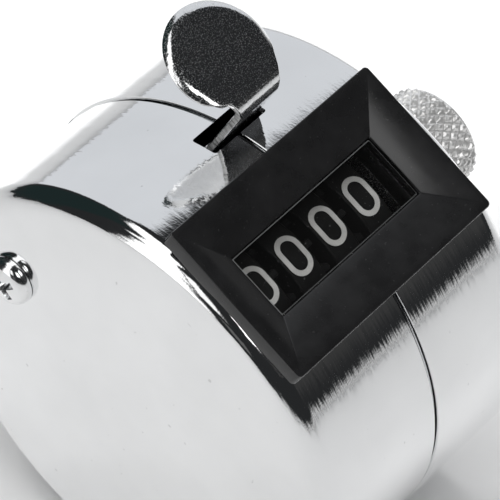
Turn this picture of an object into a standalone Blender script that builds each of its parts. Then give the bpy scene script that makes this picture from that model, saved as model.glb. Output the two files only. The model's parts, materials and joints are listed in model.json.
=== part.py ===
"""Hand tally counter: a chromed drum with a four-digit window, thumb lever and finger ring.

Sizes are in millimetres and are turned into metres where meshes are made.
The pieces are laid out in the counter's own axes: X along the number wheels (knob at +X),
Y up the face of the window (lever at +Y) and Z out of the window, with the drum's axis at 0.
An empty then tips the whole counter back onto its drum and finger ring, as it lies on a table.
"""
import bpy
import bmesh
from math import acos, asin, cos, pi, radians, sin, sqrt, tau
from mathutils import Matrix, Vector

MM = 0.001
CLEAR = 0.3                 # running gap between neighbouring pieces

# drum shells
DRUM_R = 22.5               # right shell, outside
LEFT_R = 22.3               # left shell, outside
HALF_W = 14.3               # end faces at +-HALF_W
SHOULDER = 2.0              # rounding between drum and end face
WALL = 0.75
RIGHT_WALL = 0.6
CUT_LOW = 14.0              # cutters for slot and window run between these heights
CUT_HIGH = 30.0
SEAM_X = 0.7
SEAM_GAP = 0.3
TONGUE_R = 21.5             # left shell's rim that slips inside the right one
TONGUE_T = 0.6
TONGUE_END = 2.3
DRUM_STEPS = 72

# window and bezel, centred on the number wheels
WINDOW_X = -0.9
BEZEL_W = 25.6
BEZEL_H = 15.9
LIP_Z = 24.3
LIP = 0.5
BEZEL_END_Z = 22.6          # straight lower edge of the bezel's two end walls
OPENING_W = 18.2
OPENING_H = 6.35
OPENING_Z = 22.8
NECK_W = 22.6               # part of the bezel that drops through the shells
NECK_H = 11.6
NECK_Z = 20.5
LENS_W = 19.4
LENS_H = 7.4
LENS_Z = 21.2
LENS_T = 0.8

# number wheels
WHEEL_Z = 10.9              # wheel shaft, in front of the drum's axis
WHEEL_R = 8.5
PITCH = 4.5
BAND_HALF = 1.5             # half the width of the digit band
GEAR_X = 2.3                # right end of a wheel's gear ring, from the band's centre
CARRY_X = -1.9              # left end of a wheel's carry disc
BORE_R = 1.6
WHEEL_STEPS = 60
GEAR_TEETH = 20
PINION_TEETH = 8
MODULE = 0.78
ADDENDUM = 0.45
DEDENDUM = 0.75
PINION_HALF = 0.5
PINION_SHAFT_R = 0.8

# chassis plates
PLATE_T = 0.8
PLATE_R = 19.6
PLATE_FRONT_Z = 18.6
LEFT_PLATE_X = -11.9        # outer face
RIGHT_PLATE_X = 10.1        # inner face
POST_R = 1.2
POSTS = {
    "tie_post_upper": (12.5, -10.0),
    "tie_post_lower": (-12.5, -8.0),
    "tie_post_rear": (0.0, -16.5),
}

# reset shaft and knob
SHAFT_R = 1.25
KNOB_R = 4.9
KNOB_X0 = 14.7
KNOB_X1 = 21.9
BUSH_R = 3.2

# ratchet, pawl, lever
RATCHET_TEETH = 10
RATCHET_R = 4.2
RATCHET_X = (7.65, 8.35)
PIVOT = (-10.0, 15.5)       # lever pivot in Y, Z
LEVER_T = 0.7
LEVER_Y = 11.25             # underside of the lever's tongue
LEVER_X = 1.0               # middle of tongue and thumb pad
TONGUE_HALF = 2.32
PAD_FRONT_Z = 25.7
PAD_R = 5.0
PAD_Y = 16.5
FOLD_R = 1.0
ARM_X = (8.7, 9.4)
SLOT_X = (-2.3, 4.3)
SLOT_Y = (10.75, 13.0)
PAWL_PIVOT = (7.6, 14.6)
PAWL_X = (7.65, 8.35)

# screws and finger ring
SCREW_Y = 15.1
SCREW_Z = 0.6
SCREW_HEAD_R = 2.6
SCREW_HEAD_H = 1.5
SCREW_R = 1.15
RING_R = 11.3
RING_T = 1.3
RING_W = 6.0
SADDLE_T = 1.6
SADDLE_W = 9.0
SADDLE_L = 9.6
RIVET_Z = 2.7
RIVET_R = 0.8
RIVET_HEAD_R = 1.5

RING_Y = -(DRUM_R + SADDLE_T + CLEAR + RING_R)
RING_X = -4.6
TILT = radians(30)
RING_DIP = asin((DRUM_R - RING_R) / -RING_Y)    # drum and ring both touch the table
RING_TURN = pi - RING_DIP - TILT
SHAFT_YZ = (0.0, WHEEL_Z)
PINION_YZ = (0.0, WHEEL_Z - MODULE * (GEAR_TEETH + PINION_TEETH) / 2)


# ---------------------------------------------------------------- scene

def clear_scene():
    for obj in list(bpy.data.objects):
        bpy.data.objects.remove(obj, do_unlink=True)


def make_collection(name):
    collection = bpy.data.collections.new(name)
    bpy.context.scene.collection.children.link(collection)
    return collection


def make_material(name, color, metallic, roughness, alpha=1.0):
    material = bpy.data.materials.new(name)
    material.use_nodes = True
    shader = material.node_tree.nodes["Principled BSDF"]
    shader.inputs["Base Color"].default_value = (*color, 1.0)
    shader.inputs["Metallic"].default_value = metallic
    shader.inputs["Roughness"].default_value = roughness
    shader.inputs["Alpha"].default_value = alpha
    material.diffuse_color = (*color, alpha)
    return material


clear_scene()
PARTS = make_collection("hand_tally_counter")
CUTTERS = make_collection("cutters")
FRAME = bpy.data.objects.new("counter_frame", None)
PARTS.objects.link(FRAME)

CHROME = make_material("chrome", (0.80, 0.80, 0.82), 1.0, 0.06)
STEEL = make_material("steel", (0.62, 0.62, 0.64), 1.0, 0.3)
BRASS = make_material("brass", (0.75, 0.58, 0.28), 1.0, 0.3)
BLACK = make_material("black_plastic", (0.02, 0.02, 0.022), 0.0, 0.3)
WHEEL_BLACK = make_material("wheel_black", (0.015, 0.015, 0.015), 0.0, 0.5)
NYLON = make_material("nylon", (0.75, 0.73, 0.66), 0.0, 0.5)
CLEAR_PLASTIC = make_material("clear_plastic", (0.9, 0.93, 0.93), 0.0, 0.05, 0.3)


# ---------------------------------------------------------------- mesh tools (all in millimetres)

def link_mesh(name, mesh_bm, collection, origin=(0, 0, 0)):
    """Turn a bmesh in counter axes into an object whose own origin is at the point given."""
    origin = Vector(origin)
    bmesh.ops.translate(mesh_bm, verts=mesh_bm.verts, vec=-origin)
    bmesh.ops.scale(mesh_bm, verts=mesh_bm.verts, vec=(MM, MM, MM))
    bmesh.ops.recalc_face_normals(mesh_bm, faces=mesh_bm.faces)
    mesh = bpy.data.meshes.new(name)
    mesh_bm.to_mesh(mesh)
    mesh_bm.free()
    obj = bpy.data.objects.new(name, mesh)
    obj.location = origin * MM
    obj.parent = FRAME
    collection.objects.link(obj)
    return obj


def part(name, mesh_bm, material, origin=(0, 0, 0)):
    obj = link_mesh(name, mesh_bm, PARTS, origin)
    obj.data.materials.append(material)
    obj.data.shade_smooth()
    obj.data.set_sharp_from_angle(angle=radians(32))
    return obj


def boolean(obj, cutter_bm, operation="DIFFERENCE"):
    cutter = link_mesh(obj.name + "_" + operation.lower(), cutter_bm, CUTTERS)
    cutter.hide_render = True
    cutter.display_type = "WIRE"
    modifier = obj.modifiers.new(operation.lower(), "BOOLEAN")
    modifier.operation = operation
    modifier.object = cutter
    return obj


def axis_turn(axis):
    """Rotation that takes a shape made along Z to the axis named."""
    if axis == "x":
        return Matrix.Rotation(pi / 2, 4, "Y")
    if axis == "y":
        return Matrix.Rotation(-pi / 2, 4, "X")
    return Matrix.Identity(4)


def add_cylinder(mesh_bm, axis, centre, radius, length, steps=24, radius2=None):
    """A cylinder or cone frustum centred on a point; radius2 is the end at the axis's plus side."""
    matrix = Matrix.Translation(centre) @ axis_turn(axis)
    bmesh.ops.create_cone(mesh_bm, cap_ends=True, segments=steps, radius1=radius,
                          radius2=radius if radius2 is None else radius2, depth=length, matrix=matrix)
    return mesh_bm


def rod(yz, radius, x0, x1, steps=24):
    return add_cylinder(bmesh.new(), "x", ((x0 + x1) / 2, *yz), radius, x1 - x0, steps)


def add_box(mesh_bm, low, high):
    size = [b - a for a, b in zip(low, high)]
    middle = [(a + b) / 2 for a, b in zip(low, high)]
    matrix = Matrix.Translation(middle) @ Matrix.Diagonal((*size, 1.0))
    bmesh.ops.create_cube(mesh_bm, size=1.0, matrix=matrix)
    return mesh_bm


def box(low, high):
    return add_box(bmesh.new(), low, high)


def turned(profile, yz=(0.0, 0.0), steps=DRUM_STEPS):
    """Turn a closed profile of (x, r) points about an axis along X through yz."""
    mesh_bm = bmesh.new()
    verts = [mesh_bm.verts.new((x, yz[0] + r, yz[1])) for x, r in profile]
    edges = [mesh_bm.edges.new((verts[i - 1], verts[i])) for i in range(len(verts))]
    bmesh.ops.spin(mesh_bm, geom=verts + edges, axis=(1, 0, 0), cent=(0, *yz), dvec=(0, 0, 0),
                   angle=tau, steps=steps, use_merge=True, use_duplicate=False)
    bmesh.ops.remove_doubles(mesh_bm, verts=mesh_bm.verts, dist=1e-5)
    return mesh_bm


def prism(outline, low, high):
    """Extrude an outline of (y, z) points along X."""
    mesh_bm = bmesh.new()
    face = mesh_bm.faces.new([mesh_bm.verts.new((low, y, z)) for y, z in outline])
    grown = bmesh.ops.extrude_face_region(mesh_bm, geom=[face])
    moved = [item for item in grown["geom"] if isinstance(item, bmesh.types.BMVert)]
    bmesh.ops.translate(mesh_bm, verts=moved, vec=(high - low, 0, 0))
    return mesh_bm


def arc(centre, radius, start, end, count):
    """Points on an arc, angles in degrees, as (first, second) coordinates."""
    angles = [radians(start + (end - start) * i / count) for i in range(count + 1)]
    return [(centre[0] + radius * cos(a), centre[1] + radius * sin(a)) for a in angles]


def toothed(centre, teeth, tip, root, tip_share, root_share, phase=0.0):
    """Outline of a wheel with straight-sided teeth; the first tooth points along the second axis."""
    step = tau / teeth
    corners = ((-root_share, root), (-tip_share, tip), (tip_share, tip), (root_share, root))
    points = []
    for index in range(teeth):
        for share, radius in corners:
            angle = phase + (index + share / 2) * step
            points.append((centre[0] + radius * sin(angle), centre[1] + radius * cos(angle)))
    return points


# ---------------------------------------------------------------- drum shells

def shoulder(sign, outer_r, inset, step, back):
    """Quarter arc from the drum to the end face, or back again, set in by a wall's thickness."""
    radius = SHOULDER - inset
    angles = range(0, 91, step) if back else range(90, -1, -step)
    points = []
    for angle in angles:
        x = sign * (HALF_W - inset - radius * (1 - cos(radians(angle))))
        points.append((x, outer_r - inset - radius * (1 - sin(radians(angle)))))
    return points


def shell_sides(sign, outer_r, wall):
    return shoulder(sign, outer_r, 0, 15, False), shoulder(sign, outer_r, wall, 30, True)


def cup_profile(outer, inner, rim):
    """Join the two sides of a cup's section across its end face and round its rim."""
    end_face = [(outer[-1][0], 0.0), (inner[0][0], 0.0)]
    return rim[:1] + outer + end_face + inner + rim[1:]


def slot_and_window(mesh_bm):
    half_w = NECK_W / 2 + CLEAR
    half_h = NECK_H / 2 + CLEAR
    add_box(mesh_bm, (WINDOW_X - half_w, -half_h, CUT_LOW), (WINDOW_X + half_w, half_h, CUT_HIGH))
    add_box(mesh_bm, (SLOT_X[0], SLOT_Y[0], CUT_LOW), (SLOT_X[1], SLOT_Y[1], CUT_HIGH))
    return mesh_bm


def hang_back(mesh_bm):
    """Swing a piece built under the drum round to the ring's place at the back."""
    turn = Matrix.Rotation(RING_TURN, 3, "X")
    bmesh.ops.rotate(mesh_bm, verts=mesh_bm.verts, cent=(0, 0, 0), matrix=turn)
    bmesh.ops.translate(mesh_bm, verts=mesh_bm.verts, vec=(RING_X, 0, 0))
    return mesh_bm


def rivet_holes(y, length):
    holes = bmesh.new()
    for z in (-RIVET_Z, RIVET_Z):
        add_cylinder(holes, "y", (0, y, z), RIVET_R + CLEAR, length, 12)
    return hang_back(holes)


def make_left_shell():
    outer, inner = shell_sides(-1, LEFT_R, WALL)
    edge = SEAM_X - SEAM_GAP / 2
    tongue_in = TONGUE_R - TONGUE_T
    step = -1.2
    rim = [(edge, LEFT_R), (step, LEFT_R - WALL), (step, tongue_in)]
    rim += [(TONGUE_END, tongue_in), (TONGUE_END, TONGUE_R), (edge, TONGUE_R)]
    shell = part("left_shell", turned(cup_profile(outer, inner, rim)), CHROME)
    cutter = slot_and_window(bmesh.new())
    for side in (1, -1):
        add_cylinder(cutter, "x", (-HALF_W, side * SCREW_Y, SCREW_Z), SCREW_R + CLEAR, 4, 16)
    boolean(shell, cutter)
    boolean(shell, rivet_holes(-DRUM_R, 6))


def make_right_shell():
    outer, inner = shell_sides(1, DRUM_R, RIGHT_WALL)
    edge = SEAM_X + SEAM_GAP / 2
    rim = [(edge, DRUM_R), (edge, DRUM_R - RIGHT_WALL)]
    shell = part("right_shell", turned(cup_profile(outer, inner, rim)), CHROME)
    cutter = slot_and_window(bmesh.new())
    add_cylinder(cutter, "x", (HALF_W, *SHAFT_YZ), BUSH_R + CLEAR, 5, 24)
    boolean(shell, cutter)


def make_shaft_bush():
    outer = BUSH_R
    inner = SHAFT_R + CLEAR
    low = HALF_W - 1.6
    high = HALF_W + 0.05
    profile = [(low, outer), (low, inner), (high, inner), (high, outer)]
    part("shaft_bush", turned(profile, SHAFT_YZ, 24), BRASS)


# ---------------------------------------------------------------- bezel and lens

def frustum(mesh_bm, low_half, low_z, high_half, high_z):
    """Four-sided funnel about the window's centre line."""
    rings = []
    for (half_x, half_y), z in ((low_half, low_z), (high_half, high_z)):
        corners = ((-half_x, -half_y), (half_x, -half_y), (half_x, half_y), (-half_x, half_y))
        rings.append([mesh_bm.verts.new((WINDOW_X + x, y, z)) for x, y in corners])
    mesh_bm.faces.new(rings[0])
    mesh_bm.faces.new(rings[1])
    for i in range(4):
        mesh_bm.faces.new((rings[0][i - 1], rings[0][i], rings[1][i], rings[1][i - 1]))
    return mesh_bm


def window_box(width, height, low_z, high_z):
    """Box about the window's centre line."""
    return box((WINDOW_X - width / 2, -height / 2, low_z), (WINDOW_X + width / 2, height / 2, high_z))


def make_bezel():
    half_w = BEZEL_W / 2
    half_h = BEZEL_H / 2
    side_x = 1.2
    bezel = part("bezel", window_box(BEZEL_W, BEZEL_H, NECK_Z - 1, LIP_Z), BLACK)
    under = add_cylinder(bmesh.new(), "x", (0, 0, 0), DRUM_R + CLEAR, 2 * HALF_W + 4, DRUM_STEPS)
    boolean(bezel, under)
    ends = bmesh.new()
    for side in (-1, 1):
        x = WINDOW_X + side * half_w
        add_box(ends, (x - side_x, -half_h - 1, 18), (x + side_x, half_h + 1, BEZEL_END_Z))
    boolean(bezel, ends)
    boolean(bezel, window_box(NECK_W, NECK_H, NECK_Z, BEZEL_END_Z + 0.6), "UNION")
    slope_w = half_w - LIP
    slope_h = half_h - LIP
    rise = 0.5
    depth = LIP_Z - OPENING_Z
    grow_w = (slope_w - OPENING_W / 2) * rise / depth
    grow_h = (slope_h - OPENING_H / 2) * rise / depth
    small = (OPENING_W / 2, OPENING_H / 2)
    large = (slope_w + grow_w, slope_h + grow_h)
    boolean(bezel, frustum(bmesh.new(), small, OPENING_Z, large, LIP_Z + rise))
    boolean(bezel, window_box(OPENING_W, OPENING_H, CUT_LOW, OPENING_Z + 0.1))
    pocket_z = LENS_Z + LENS_T + 0.15
    boolean(bezel, window_box(LENS_W + 2 * CLEAR, LENS_H + 2 * CLEAR, CUT_LOW, pocket_z))


def make_lens():
    part("window_lens", window_box(LENS_W, LENS_H, LENS_Z, LENS_Z + LENS_T), CLEAR_PLASTIC)


# ---------------------------------------------------------------- chassis

def plate_outline():
    """Round plate with a flat front, clear of the bezel's neck."""
    half = acos(PLATE_FRONT_Z / PLATE_R) * 180 / pi
    return [(r_y, r_z) for r_z, r_y in arc((0, 0), PLATE_R, half, 360 - half, 40)]


def make_plates():
    left = part("left_plate", prism(plate_outline(), LEFT_PLATE_X, LEFT_PLATE_X + PLATE_T), STEEL)
    right = part("right_plate", prism(plate_outline(), RIGHT_PLATE_X, RIGHT_PLATE_X + PLATE_T), STEEL)
    for plate, x in ((left, LEFT_PLATE_X), (right, RIGHT_PLATE_X)):
        holes = bmesh.new()
        add_cylinder(holes, "x", (x, *SHAFT_YZ), SHAFT_R + CLEAR, 6, 16)
        add_cylinder(holes, "x", (x, *PINION_YZ), PINION_SHAFT_R + CLEAR, 6, 12)
        if plate is right:
            add_cylinder(holes, "x", (x, *PIVOT), 1.0 + CLEAR, 6, 12)
        boolean(plate, holes)


def make_posts():
    for name, yz in POSTS.items():
        part(name, rod(yz, POST_R, LEFT_PLATE_X + PLATE_T + CLEAR, RIGHT_PLATE_X - CLEAR, 16), STEEL)
    inner_face = -HALF_W + WALL + CLEAR
    for name, side in (("screw_post_top", 1), ("screw_post_bottom", -1)):
        yz = (side * SCREW_Y, SCREW_Z)
        post = part(name, rod(yz, 2.3, inner_face, LEFT_PLATE_X - CLEAR, 18), BRASS)
        boolean(post, rod(yz, SCREW_R + CLEAR, inner_face - 1, LEFT_PLATE_X + 1, 16))


def make_case_screws():
    """Pan heads with a cross recess, standing on the left end face."""
    seat = -HALF_W - 0.05
    tip = LEFT_PLATE_X - CLEAR - 0.2
    for name, side in (("case_screw_top", 1), ("case_screw_bottom", -1)):
        yz = (side * SCREW_Y, SCREW_Z)
        profile = [(seat, SCREW_R), (seat, SCREW_HEAD_R), (seat - 0.45, SCREW_HEAD_R)]
        for angle in (30, 55, 75):
            rise = SCREW_HEAD_H * sin(radians(angle))
            profile.append((seat - rise, SCREW_HEAD_R * cos(radians(angle)) ** 0.7))
        profile += [(seat - SCREW_HEAD_H, 0.0), (tip, 0.0), (tip, SCREW_R)]
        screw = part(name, turned(profile, yz, 24), CHROME)
        for half_y, half_z in ((1.45, 0.28), (0.28, 1.45)):
            low = (seat - SCREW_HEAD_H - 1, yz[0] - half_y, yz[1] - half_z)
            high = (seat - SCREW_HEAD_H + 0.9, yz[0] + half_y, yz[1] + half_z)
            boolean(screw, box(low, high))


# ---------------------------------------------------------------- number wheels, pinions, shafts

def make_number_wheel(name, x):
    """Digit band with a gear ring on its right, driven by a pinion, and a carry disc on its left."""
    gear_tip = MODULE * GEAR_TEETH / 2 + ADDENDUM
    gear_root = MODULE * GEAR_TEETH / 2 - DEDENDUM
    carry_r = 6.0
    inset = 0.05
    left = x - BAND_HALF
    right = x + BAND_HALF
    profile = [(left, 0.0), (left, WHEEL_R), (right, WHEEL_R), (right, 0.0)]
    if name != "wheel_thousands":
        profile[:1] = [(x + CARRY_X, 0.0), (x + CARRY_X, carry_r), (left, carry_r)]
    wheel = part(name, turned(profile, SHAFT_YZ, WHEEL_STEPS), WHEEL_BLACK, (x, *SHAFT_YZ))
    if name != "wheel_units":
        ring = toothed(SHAFT_YZ, GEAR_TEETH, gear_tip, gear_root, 0.2, 0.34, pi)
        boolean(wheel, prism(ring, right - 0.3, x + GEAR_X), "UNION")
    if name != "wheel_thousands":
        low = WHEEL_Z + carry_r - 1
        high = WHEEL_Z + gear_root - 0.2
        tooth = [(0.6, low), (0.4, high), (-0.4, high), (-0.6, low)]
        boolean(wheel, prism(tooth, x + CARRY_X + inset, left + 0.3), "UNION")
    boolean(wheel, rod(SHAFT_YZ, BORE_R, x + CARRY_X - 1, x + GEAR_X + 1, 20))


def make_wheels():
    for index, name in enumerate(("wheel_thousands", "wheel_hundreds", "wheel_tens", "wheel_units")):
        make_number_wheel(name, WINDOW_X + (index - 1.5) * PITCH)


def make_pinions():
    tip = MODULE * PINION_TEETH / 2 + ADDENDUM
    root = MODULE * PINION_TEETH / 2 - DEDENDUM
    for index, order in enumerate(("thousands", "hundreds", "tens")):
        x = WINDOW_X + (index - 1) * PITCH
        outline = toothed(PINION_YZ, PINION_TEETH, tip, root, 0.2, 0.36, pi / PINION_TEETH)
        solid = prism(outline, x - PINION_HALF, x + PINION_HALF)
        pinion = part("transfer_pinion_" + order, solid, NYLON, (x, *PINION_YZ))
        boolean(pinion, rod(PINION_YZ, PINION_SHAFT_R + CLEAR, x - 2, x + 2, 12))
    ends = (LEFT_PLATE_X - 0.4, RIGHT_PLATE_X + PLATE_T + 0.4)
    part("pinion_shaft", rod(PINION_YZ, PINION_SHAFT_R, *ends, 12), STEEL)


def make_reset():
    knob_bore = SHAFT_R + CLEAR
    origin = (KNOB_X0, *SHAFT_YZ)
    part("reset_shaft", rod(SHAFT_YZ, SHAFT_R, LEFT_PLATE_X - 0.6, KNOB_X1 - 1.6, 20), STEEL, origin)
    edge = 0.5
    end_wall = KNOB_X1 - 1.2
    profile = [(KNOB_X0, knob_bore), (KNOB_X0, KNOB_R - edge), (KNOB_X0 + edge, KNOB_R)]
    profile += [(KNOB_X1 - edge, KNOB_R), (KNOB_X1, KNOB_R - edge), (KNOB_X1, 0.0)]
    profile += [(end_wall, 0.0), (end_wall, knob_bore)]
    knob = part("reset_knob", turned(profile, SHAFT_YZ, 48), STEEL, origin)
    screw_x = KNOB_X0 + 2.2
    depth = 2 * (KNOB_R - SHAFT_R)
    hole_top = (screw_x, 0, WHEEL_Z + KNOB_R)
    boolean(knob, add_cylinder(bmesh.new(), "z", hole_top, 0.75, depth, 12))
    tip_z = WHEEL_Z + SHAFT_R + CLEAR
    length = KNOB_R - SHAFT_R - CLEAR - 1.3
    grub = add_cylinder(bmesh.new(), "z", (screw_x, 0, tip_z + length / 2), 0.45, length, 10)
    part("knob_set_screw", grub, STEEL, origin)


# ---------------------------------------------------------------- ratchet, lever, pawl, springs

def make_ratchet():
    step = tau / RATCHET_TEETH
    outline = []
    for index in range(RATCHET_TEETH):
        angle = index * step
        for share, radius in ((0.0, RATCHET_R), (0.08, RATCHET_R - 0.9)):
            turn = angle + share * step
            outline.append((radius * cos(turn), WHEEL_Z + radius * sin(turn)))
    origin = (RATCHET_X[0], *SHAFT_YZ)
    wheel = part("ratchet_wheel", prism(outline, *RATCHET_X), BRASS, origin)
    boolean(wheel, rod(SHAFT_YZ, BORE_R, RATCHET_X[0] - 1, RATCHET_X[1] + 1, 16))


def pad_half_width(y):
    """Half the width of the thumb pad and its neck at height y."""
    if y >= PAD_Y:
        return sqrt(max(0.0, PAD_R ** 2 - (y - PAD_Y) ** 2))
    fillet = 1.6
    disc = sqrt(max(0.0, PAD_R ** 2 - (PAD_Y - y) ** 2))
    blend_low = PAD_Y - sqrt((PAD_R + fillet) ** 2 - (TONGUE_HALF + fillet) ** 2)
    touch = PAD_Y + (blend_low - PAD_Y) * PAD_R / (PAD_R + fillet)
    if y <= blend_low:
        return TONGUE_HALF
    if y < touch:
        return TONGUE_HALF + fillet - sqrt(fillet ** 2 - (y - blend_low) ** 2)
    return disc


def lever_strip():
    """Mid-surface of tongue, fold and pad as rows of (y, z, half width), ending at the pad's tip."""
    mid_y = LEVER_Y + LEVER_T / 2
    mid_z = PAD_FRONT_Z - LEVER_T / 2
    rows = [(mid_y, z, TONGUE_HALF) for z in (16.0, 20.0, mid_z - FOLD_R)]
    for angle in (22.5, 45, 67.5, 90):
        y = mid_y + FOLD_R * (1 - cos(radians(angle)))
        rows.append((y, mid_z - FOLD_R * (1 - sin(radians(angle))), TONGUE_HALF))
    heights = [PAD_Y - PAD_R * cos(radians(a)) for a in range(39, 171, 11)]
    tip = PAD_Y + PAD_R * cos(radians(6))
    for y in [h for h in heights if h > mid_y + FOLD_R + 0.3] + [tip]:
        rows.append((y, mid_z, pad_half_width(y)))
    return rows


def make_lever():
    mesh_bm = bmesh.new()
    columns = (-1.0, -0.5, 0.0, 0.5, 1.0)
    rows = []
    for y, z, half in lever_strip():
        rows.append([mesh_bm.verts.new((LEVER_X + c * half, y, z)) for c in columns])
    for lower, upper in zip(rows, rows[1:]):
        for i in range(len(columns) - 1):
            mesh_bm.faces.new((lower[i], lower[i + 1], upper[i + 1], upper[i]))
    lever = part("thumb_lever", mesh_bm, CHROME, (0, *PIVOT))
    sheet = lever.modifiers.new("sheet", "SOLIDIFY")
    sheet.thickness = LEVER_T * MM
    sheet.offset = 0.0
    sheet.use_even_offset = True
    shelf = box((LEVER_X - TONGUE_HALF, LEVER_Y, 8.6), (ARM_X[1], LEVER_Y + LEVER_T, 17.0))
    boolean(lever, shelf, "UNION")
    boss = 2.0
    outline = [(LEVER_Y + LEVER_T, 9.6), (LEVER_Y + LEVER_T, 17.0), (4.0, 17.6), (-6.0, 17.4)]
    outline += arc(PIVOT, boss, 60, 300, 14)
    outline += [(-5.0, 14.8), (3.0, 14.8), (6.5, 13.0), (8.5, 9.6)]
    boolean(lever, prism(outline, *ARM_X), "UNION")
    holes = rod(PIVOT, 1.0 + CLEAR, ARM_X[0] - 1, ARM_X[1] + 1, 12)
    add_cylinder(holes, "x", (ARM_X[0], *PAWL_PIVOT), 0.6 + CLEAR, 4, 10)
    boolean(lever, holes)


def make_pivot():
    x0 = ARM_X[0] - 1.1
    part("lever_pivot_pin", rod(PIVOT, 1.0, x0, RIGHT_PLATE_X + PLATE_T + 0.6, 16), STEEL)
    profile = [(x0 + 0.1, 1.0 + CLEAR), (x0 + 0.1, 2.0), (x0 + 0.6, 2.0), (x0 + 0.6, 1.0 + CLEAR)]
    part("lever_pivot_clip", turned(profile, PIVOT, 16), STEEL)


def make_pawl():
    """Hooked pawl on the lever, held just clear of the ratchet's tips."""
    origin = (PAWL_X[0], *PAWL_PIVOT)
    eye = 1.5
    nose_z = WHEEL_Z + 0.2
    nose_y = RATCHET_R + 0.75
    outline = arc(PAWL_PIVOT, eye, -35, 125, 8)
    outline += [(nose_y + 0.3, nose_z + 1.0), (nose_y, nose_z)]
    outline += [(nose_y + 0.3, nose_z - 0.5), (nose_y + 1.5, nose_z + 0.2)]
    pawl = part("drive_pawl", prism(outline, *PAWL_X), STEEL, origin)
    boolean(pawl, rod(PAWL_PIVOT, 0.6 + CLEAR, PAWL_X[0] - 1, PAWL_X[1] + 1, 10))
    rivet = rod(PAWL_PIVOT, 0.6, PAWL_X[0] - 0.1, ARM_X[1] + 0.2, 10)
    part("pawl_rivet", rivet, STEEL, (0, *PIVOT))


def make_detent():
    """Leaf anchored on the right plate, its tip just clear of the ratchet."""
    anchor = (-8.4, 4.2)
    tip = (-RATCHET_R - 0.5, 9.6)
    along = Vector((tip[0] - anchor[0], tip[1] - anchor[1])).normalized()
    side = Vector((-along.y, along.x)) * 0.2
    outline = [(anchor[0] - side.x, anchor[1] - side.y), (tip[0] - side.x, tip[1] - side.y),
               (tip[0] + side.x, tip[1] + side.y), (anchor[0] + side.x, anchor[1] + side.y)]
    part("detent_spring", prism(outline, RATCHET_X[0], RIGHT_PLATE_X - CLEAR), STEEL)


def make_spring():
    """Torsion spring wound round a stub on the outer side of the right plate."""
    turns = 3
    per_turn = 12
    wire = 0.25
    coil_r = 1.9
    x0 = RIGHT_PLATE_X + PLATE_T + 0.45
    centre = (-4.0, -3.0)
    points = [(x0, centre[0] - 6.0, centre[1] + coil_r)]
    for index in range(turns * per_turn + 1):
        angle = tau * index / per_turn + pi / 2
        x = x0 + 0.62 * index / per_turn
        points.append((x, centre[0] + coil_r * cos(angle), centre[1] + coil_r * sin(angle)))
    points.append((points[-1][0], centre[0] + 6.0, centre[1] + coil_r))
    curve = bpy.data.curves.new("lever_spring", "CURVE")
    curve.dimensions = "3D"
    curve.bevel_depth = wire * MM
    curve.bevel_resolution = 2
    curve.use_fill_caps = True
    curve.materials.append(STEEL)
    spline = curve.splines.new("POLY")
    spline.points.add(len(points) - 1)
    for point, place in zip(spline.points, points):
        point.co = (*(Vector(place) * MM), 1.0)
    obj = bpy.data.objects.new("lever_spring", curve)
    obj.parent = FRAME
    PARTS.objects.link(obj)


# ---------------------------------------------------------------- finger ring

def make_finger_ring():
    inner = RING_R - RING_T
    yz = (RING_Y, 0.0)
    half = RING_W / 2
    soft = 0.3
    profile = [(-half, inner + soft), (-half, RING_R - soft), (-half + soft, RING_R)]
    profile += [(half - soft, RING_R), (half, RING_R - soft), (half, inner + soft)]
    profile += [(half - soft, inner), (-half + soft, inner)]
    ring = part("finger_ring", hang_back(turned(profile, yz, 48)), CHROME)
    boolean(ring, rivet_holes(RING_Y + RING_R, 6))


def make_saddle():
    low = RING_Y + RING_R - 1.2
    block = box((-SADDLE_W / 2, low, -SADDLE_L / 2), (SADDLE_W / 2, -DRUM_R + 2, SADDLE_L / 2))
    saddle = part("ring_saddle", hang_back(block), CHROME)
    cutter = add_cylinder(bmesh.new(), "x", (0, 0, 0), LEFT_R + CLEAR, 2 * HALF_W, DRUM_STEPS)
    boolean(saddle, hang_back(cutter))
    seat = rod((RING_Y, 0.0), RING_R + CLEAR, -HALF_W, HALF_W, 48)
    boolean(saddle, hang_back(seat))
    boolean(saddle, rivet_holes(-DRUM_R - 1, 8))


def make_rivets():
    head = 0.7
    wall = RING_Y + sqrt((RING_R - RING_T) ** 2 - (RIVET_Z + RIVET_HEAD_R) ** 2)
    top = -LEFT_R + WALL + 0.9
    base = wall - CLEAR - head + 0.1
    for name, z in (("ring_rivet_front", RIVET_Z), ("ring_rivet_rear", -RIVET_Z)):
        middle = (0, wall - CLEAR - head / 2, z)
        cone = add_cylinder(bmesh.new(), "y", middle, RIVET_HEAD_R - 0.5, head, 16, RIVET_HEAD_R)
        rivet = part(name, hang_back(cone), CHROME)
        shank = add_cylinder(bmesh.new(), "y", (0, (top + base) / 2, z), RIVET_R, top - base, 12)
        boolean(rivet, hang_back(shank), "UNION")


# ---------------------------------------------------------------- resting place

def stand_on_table():
    """Tip the counter onto drum and ring, and put the origin under the middle of its box."""
    FRAME.rotation_euler = (TILT, 0, 0)
    FRAME.location = (0, 0, 0)
    bpy.context.view_layer.update()
    depsgraph = bpy.context.evaluated_depsgraph_get()
    low = Vector((1e9, 1e9, 1e9))
    high = -low
    for obj in PARTS.objects:
        if obj.type == "EMPTY":
            continue
        shape = obj.evaluated_get(depsgraph)
        mesh = shape.to_mesh()
        for vert in mesh.vertices:
            place = shape.matrix_world @ vert.co
            low = Vector(map(min, low, place))
            high = Vector(map(max, high, place))
        shape.to_mesh_clear()
    FRAME.location = (-(low.x + high.x) / 2, -(low.y + high.y) / 2, -low.z)
    bpy.context.view_layer.update()


make_left_shell()
make_right_shell()
make_shaft_bush()
make_bezel()
make_lens()
make_plates()
make_posts()
make_case_screws()
make_wheels()
make_pinions()
make_reset()
make_ratchet()
make_lever()
make_pivot()
make_pawl()
make_detent()
make_spring()
make_finger_ring()
make_saddle()
make_rivets()
stand_on_table()
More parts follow.
